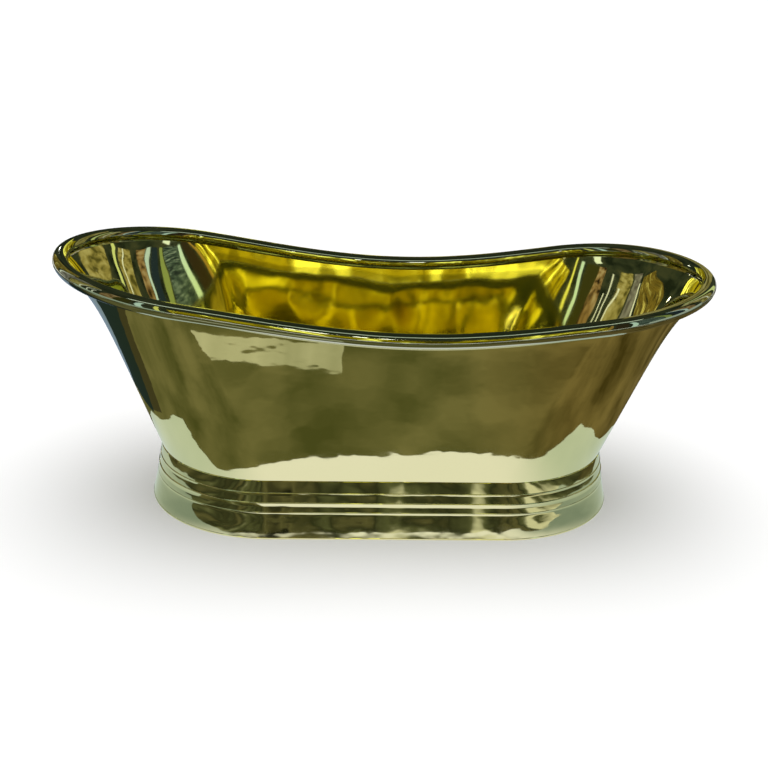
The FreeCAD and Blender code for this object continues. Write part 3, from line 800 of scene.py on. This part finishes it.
# Ground: its tones, the distances along the bath over which they change, and how flat the
# view is where each starts and ends turning dark, from 0 from above to 1 along the ground
CREAM = (0.97, 0.98, 1.06)
SAGE_TONES = ((0.48, 0.58, 0.55), (0.72, 0.8, 0.78))
DARK_SAGE_TONES = ((0.16, 0.22, 0.21), (0.34, 0.42, 0.42))
GREEN_FLOOR_TONES = ((0.08, 0.085, 0.025), (0.215, 0.2, 0.09))
BROWN_FLOOR_TONES = ((0.06, 0.045, 0.01), (0.21, 0.16, 0.06))
CREAM_TO_SAGE = (0.3, 0.66)
GREEN_TO_BROWN = (0.1, 0.8)
CLOUD_SPAN = (0.34, 0.66)
CREAM_TURNS_DARK = (0.93, 0.95)
SAGE_TURNS_DARK = (0.55, 0.8)
FLOOR_TURNS_DARK = (0.58, 0.68)

# Golden walls: streaks that are bright enough to light the inside
GOLDEN_TONES = ((0.02, 0.022, 0.003), (0.36, 0.27, 0.006), (0.62, 0.5, 0.015),
                (0.12, 0.12, 0.01), (2.4, 2.3, 0.4))

# Bare lamps: bearing and lift of each, its width and half its height, in degrees
BARE_LAMPS = ((5, 40), (-61, 57), (50, 50), (-152, 24), (155, 60), (150, 24))
LAMP_WIDTH = 2.4
LAMP_HALF_HEIGHT = 1
LAMP_LIGHT = (9.0, 9.0, 9.0)


def patches(tones, scale, stretch=(1.0, 1.0, 1.0), low=0.35, high=0.65):
    """A function that paints tones which follow one another over a noise."""
    step = (high - low) / (len(tones) - 1)
    stops = [(low + step * number, tone) for number, tone in enumerate(tones)]
    return lambda paint: paint.node("ShaderNodeValToRGB", {"stops": stops},
                                    {"Fac": paint.noise(scale, detail=3.0, stretch=stretch)})


WHITE_STRIP = (0.95, 1.0, 0.9)
COOL_STRIP = (0.7, 0.95, 0.9)
BROWN = patches(((0.03, 0.02, 0.008), (0.3, 0.19, 0.08), (0.45, 0.35, 0.2)), scale=2.2)
OLIVE_GOLD = patches(((0.1, 0.09, 0.02), (0.34, 0.29, 0.09), (0.5, 0.45, 0.2)), scale=2.5)
TEAL = patches(((0.02, 0.03, 0.03), (0.09, 0.14, 0.12), (0.35, 0.45, 0.42)),
               scale=3.5, stretch=(0.5, 0.5, 3.0), low=0.38, high=0.72)
GREY = patches(((0.12, 0.11, 0.1), (0.36, 0.36, 0.33)), scale=2.0)
STREAKS = patches(((0.03, 0.03, 0.01), (0.25, 0.18, 0.03), (0.1, 0.07, 0.01), (0.8, 0.7, 0.2)),
                  scale=2.0, stretch=(5.0, 5.0, 0.5), low=0.36, high=0.66)
DIM_ROOM = patches(((0.014, 0.02, 0.011), (0.035, 0.045, 0.026), (0.06, 0.066, 0.035)),
                   scale=1.1)
UNDER_RIM = patches(((0.34, 0.35, 0.23), (0.58, 0.58, 0.44)), scale=6.0)
# What the plinth sees along the ground: dark, with a few pale streaks
LOW_STREAKS = patches(((0.014, 0.016, 0.008), (0.12, 0.115, 0.055), (0.03, 0.034, 0.016),
                       (0.11, 0.12, 0.06), (0.75, 0.75, 0.62)),
                      scale=1.6, stretch=(2.8, 0.6, 1.0), low=0.36, high=0.66)

# Name, bearing, width, low and high edge of each panel, in degrees, and its tone. Bearing 0
# is in front and 90 to the right, and a panel is named for the end of the bath that mirrors it.
PANELS = (
    ("left_low_wall", -60, 74, 0, 9, (0.42, 0.52, 0.45)),
    ("right_low_wall", 76, 52, 0, 12, (0.5, 0.58, 0.56)),
    ("left_gold", 150, 22, 8, 55, OLIVE_GOLD),
    ("left_streak_a", 126, 5, 6, 50, (0.75, 0.85, 0.35)),
    ("left_olive", 110, 18, 6, 56, OLIVE_GOLD),
    ("left_brown", 88, 8, 6, 56, BROWN),
    ("left_blue", 75, 8, 6, 56, (0.02, 0.035, 0.05)),
    ("left_green", 66, 4, 6, 54, (0.3, 0.38, 0.12)),
    ("left_teal", 53, 20, 4, 56, TEAL),
    ("left_dark", 28, 12, 4, 56, (0.04, 0.03, 0.015)),
    ("left_orange", 18, 3, 8, 50, (0.42, 0.26, 0.06)),
    ("right_dark", -54, 14, 4, 55, (0.05, 0.05, 0.012)),
    ("right_brown", -67, 13, 4, 55, BROWN),
    ("right_gold", -95, 12, 4, 55, OLIVE_GOLD),
    ("right_grey", -109, 12, 4, 55, GREY),
    ("right_streaks", -130, 20, 4, 44, STREAKS),
)
# Narrow strips of light, just in front of the panels
STRIPS = (
    ("left_white_a", 112, 1.6, 8, 50, WHITE_STRIP),
    ("left_white_b", 82, 3.0, 6, 57, (0.6, 0.8, 0.85)),
    ("left_white_c", 40, 5.0, 4, 57, COOL_STRIP),
    ("right_yellow", -28, 3.5, 4, 55, (1.0, 1.0, 0.25)),
    ("right_white_a", -41, 5.0, 4, 57, COOL_STRIP),
    ("right_white_b", -79, 1.2, 8, 30, WHITE_STRIP),
    ("right_white_c", -84, 1.2, 8, 44, WHITE_STRIP),
    ("right_white_d", -90, 1.0, 8, 36, WHITE_STRIP),
    ("right_white_e", -116, 1.8, 8, 40, WHITE_STRIP),
)
# Name, distance in front (-) or behind, ends, low and high edge and brightness of each wall
GOLDEN_WALLS = (
    ("golden_front_low", -GLOW_DISTANCE, -1.3, 1.3, 0.4, 1.35, 0.6),
    ("golden_front", -GLOW_DISTANCE, -1.3, 1.3, 1.35, 3.0, 1.1),
    ("golden_rear", GLOW_DISTANCE, -0.8, 1.0, 0.8, 2.3, 1.0),
)
# Name, height, left, right, near and far edge, and tone of each card
CARDS = (
    ("left_dark_patch", PATCH_HEIGHT, -2.4, -0.885, 0.1, 0.6, (0.018, 0.032, 0.03)),
    ("left_brown_patch", PATCH_HEIGHT, -2.4, -0.9, -0.06, 0.1, (0.06, 0.055, 0.025)),
    ("left_blue_patch", PATCH_HEIGHT, -2.4, -0.885, 0.6, 1.8, (0.22, 0.3, 0.42)),
    ("front_strip", FRONT_STRIP_HEIGHT, -2.2, 2.2, -1.5, -1.1, (1.0, 1.15, 1.05)),
)


def in_metal(name, mesh, tone):
    """Scenery that only the polished metal sees, in one tone or in patches."""
    item = finish_mesh(name, mesh)
    made, paint = material(name)
    paint.cover(paint.glow(tone if isinstance(tone, tuple) else tone(paint), 1.0))
    item.data.materials.append(made)
    item.visible_camera = False
    item.visible_diffuse = False
    item.visible_shadow = False
    item.visible_transmission = False


def flat_sheet(name, corners, tone):
    mesh = bmesh.new()
    verts = [mesh.verts.new(corner) for corner in corners]
    bmesh.ops.contextual_create(mesh, geom=verts)
    in_metal(name, mesh, tone)


def grazing(paint, low, high):
    """Nothing where the ground is seen from above, one where it is seen at a flat angle."""
    view = paint.node("ShaderNodeLayerWeight", {}, {"Blend": 0.5}, "Facing")
    return paint.fade(view, low, high, "LINEAR")


def pale_tone(paint):
    """Cream in front of the bath, sage green towards its ends."""
    fade = paint.fade(abs(paint.along()), *CREAM_TO_SAGE)
    cloud = paint.noise(scale=3.0)
    dark_sage = paint.mix(cloud, *DARK_SAGE_TONES)
    sage = paint.mix(grazing(paint, *SAGE_TURNS_DARK), paint.mix(cloud, *SAGE_TONES), dark_sage)
    pale = paint.mix(fade, CREAM, sage)
    dark = paint.mix(fade, LOW_STREAKS(paint), dark_sage)
    return paint.mix(grazing(paint, *CREAM_TURNS_DARK), pale, dark)


def dark_tone(paint):
    """Dark floor: greener to the left of the bath and browner to its right."""
    cloud = paint.fade(paint.noise(scale=3.2, detail=4.0), *CLOUD_SPAN, "LINEAR")
    left = paint.mix(cloud, *GREEN_FLOOR_TONES)
    right = paint.mix(cloud, *BROWN_FLOOR_TONES)
    floor_tone = paint.mix(paint.fade(paint.along(), *GREEN_TO_BROWN), left, right)
    return paint.mix(grazing(paint, *FLOOR_TURNS_DARK), floor_tone, LOW_STREAKS(paint))


def ground():
    """Pale ground next to the plinth, and a dark floor beyond it."""
    front = GROUND_LEFT + GROUND_RIGHT
    edge = [Vector((x, y, GROUND_HEIGHT)) for x, y in front]
    edge += [Vector((x, -y, GROUND_HEIGHT)) for x, y in reversed(front)]
    for name, scale, tone in (("pale_ground", 0.0, pale_tone),
                              ("dark_ground", DOME_RADIUS, dark_tone)):
        mesh = bmesh.new()
        ring = first_ring(mesh, edge)
        next_ring(mesh, ring, [Vector((p.x * scale, p.y * scale, p.z)) for p in edge])
        in_metal(name, mesh, tone)


def dome():
    """The dim room round the studio."""
    mesh = bmesh.new()
    bmesh.ops.create_uvsphere(mesh, u_segments=DOME_MERIDIANS, v_segments=DOME_PARALLELS,
                              radius=DOME_RADIUS)
    in_metal("dim_room", mesh, DIM_ROOM)


def panel(name, aim, wide, low, high, tone, distance=PANEL_DISTANCE):
    """An upright panel, by its bearing, width and height in degrees seen from the bath."""
    corners = []
    for turn, lift in ((-0.5, low), (0.5, low), (0.5, high), (-0.5, high)):
        bearing = math.radians(aim + turn * wide)
        corners.append((distance * math.sin(bearing), -distance * math.cos(bearing),
                        distance * math.tan(math.radians(lift))))
    flat_sheet(name, corners, tone)


def golden_wall(name, y, left, right, low, high, level):
    """A wall of warm streaks that lights the middle of the inside, from in front or behind."""
    tones = [tuple(part * level for part in tone) for tone in GOLDEN_TONES]
    corners = ((left, y, low), (right, y, low), (right, y, high), (left, y, high))
    streaks = patches(tones, scale=1.0, stretch=(7.0, 1.0, 0.3), low=0.38, high=0.62)
    flat_sheet(name, corners, streaks)


def card(name, height, left, right, near, far, tone):
    """A level card, by its edges."""
    corners = ((left, near, height), (right, near, height), (right, far, height),
               (left, far, height))
    flat_sheet(name, corners, tone)


floor()
backdrop_world()
soft_sky()
ground()
dome()
for row in PANELS:
    panel(*row)
for row in STRIPS:
    panel(*row, distance=STRIP_DISTANCE)
for row in GOLDEN_WALLS:
    golden_wall(*row)
flat_sheet("under_rim_card", [(x, y, UNDER_RIM_HEIGHT) for x, y in UNDER_RIM_CARD], UNDER_RIM)
for row in CARDS:
    card(*row)
for number, (aim, lift) in enumerate(BARE_LAMPS):
    panel(f"bare_lamp_{number}", aim, LAMP_WIDTH, lift - LAMP_HALF_HEIGHT,
          lift + LAMP_HALF_HEIGHT, LAMP_LIGHT, STRIP_DISTANCE)


# Camera

def photo_camera():
    """The photograph's viewpoint, from lines measured on its rim, body and plinth."""
    distance = 3.001
    down = math.radians(21.507)
    aside = math.radians(-3.354)
    tilt = math.radians(2.017)
    target = Vector((-0.00036, 0.0, 0.3033))
    focal_pixels = 1109.0
    frame_pixels = 768
    sensor_width = 36.0
    back = Vector((math.sin(aside) * math.cos(down), -math.cos(aside) * math.cos(down),
                   math.sin(down)))
    right = (-back).cross(Vector((0, 0, 1))).normalized()
    up = right.cross(-back)
    across = right * math.cos(tilt) + up * math.sin(tilt)
    above = up * math.cos(tilt) - right * math.sin(tilt)
    data = bpy.data.cameras.new("photo_camera")
    data.sensor_width = sensor_width
    data.lens = focal_pixels / frame_pixels * sensor_width
    item = bpy.data.objects.new("photo_camera", data)
    bpy.context.collection.objects.link(item)
    pose = Matrix((across, above, back)).transposed().to_4x4()
    pose.translation = target + back * distance
    item.matrix_world = pose
    bpy.context.scene.camera = item


photo_camera()
bpy.context.scene.view_settings.view_transform = "Standard"
